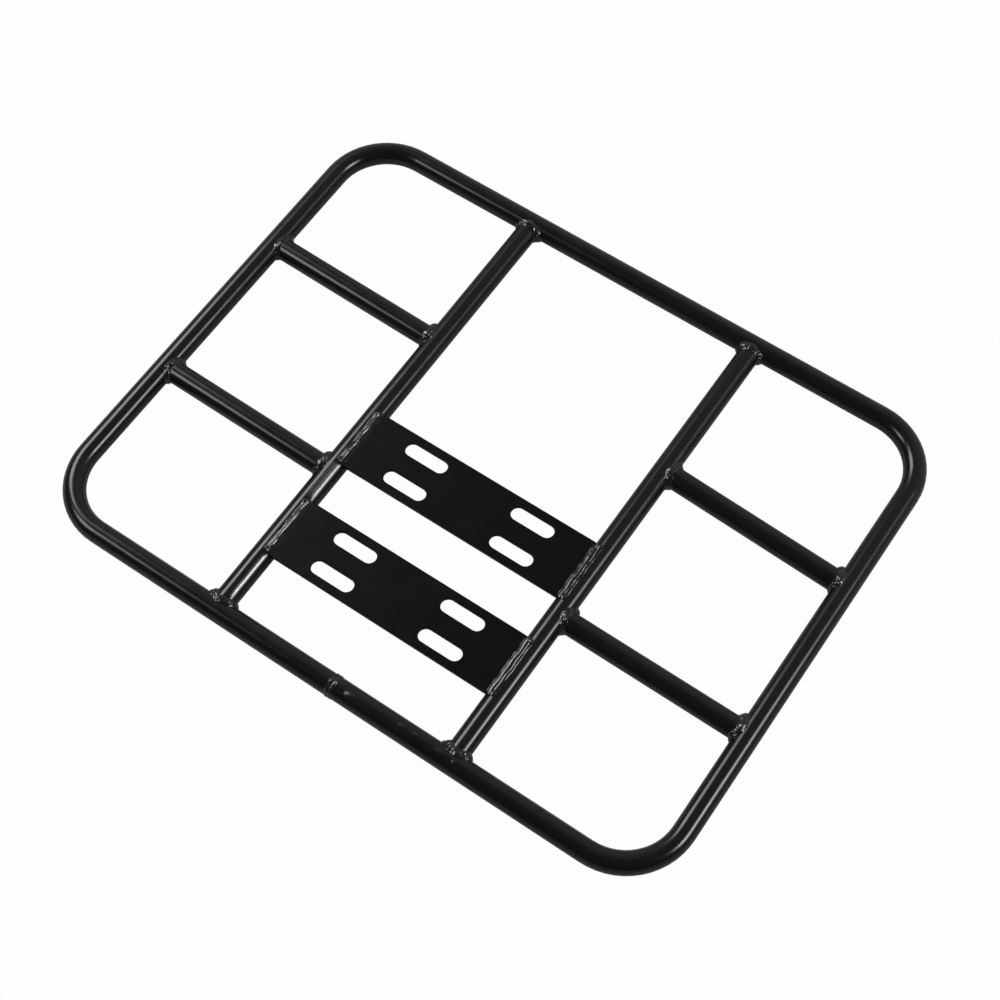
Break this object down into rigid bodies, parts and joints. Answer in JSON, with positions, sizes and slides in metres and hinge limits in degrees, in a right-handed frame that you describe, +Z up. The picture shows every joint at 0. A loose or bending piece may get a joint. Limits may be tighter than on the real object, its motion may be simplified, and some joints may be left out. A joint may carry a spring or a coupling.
{
  "type": "motorcycle delivery box rack",
  "caption": "Flat welded steel tube rack with a round-cornered ring, two long rails, short cross bars and slotted mounting plates, painted gloss black.",
  "frame": {"origin": "centre of the bounding box, on the surface that the rack rests on", "axes": "+X to the right along the front side, the ring's longer way; +Y from the front side, which the plates are nearer to, towards the rear side, along the rails; +Z up"},
  "size_m": [0.496, 0.3895, 0.0172],
  "materials": {
    "painted_tube": "gloss",
    "painted_plate": "satin",
    "painted_weld": "gloss"
  },
  "bodies": {
    "root": {"outer_ring": "painted_tube", "ring_butt_weld": "painted_weld", "left_rail": "painted_tube", "right_rail": "painted_tube", "left_rear_bar": "painted_tube", "right_rear_bar": "painted_tube", "left_front_bar": "painted_tube", "right_front_bar": "painted_tube", "front_plate": "painted_plate", "front_plate_left_weld": "painted_weld", "front_plate_right_weld": "painted_weld", "rear_plate": "painted_plate", "rear_plate_left_weld": "painted_weld", "rear_plate_right_weld": "painted_weld", "left_rail_front_weld": "painted_weld", "left_rail_rear_weld": "painted_weld", "right_rail_front_weld": "painted_weld", "right_rail_rear_weld": "painted_weld", "left_rear_bar_outer_weld": "painted_weld", "left_rear_bar_inner_weld": "painted_weld", "right_rear_bar_outer_weld": "painted_weld", "right_rear_bar_inner_weld": "painted_weld", "left_front_bar_outer_weld": "painted_weld", "left_front_bar_inner_weld": "painted_weld", "right_front_bar_outer_weld": "painted_weld", "right_front_bar_inner_weld": "painted_weld"}
  },
  "joints": []
}
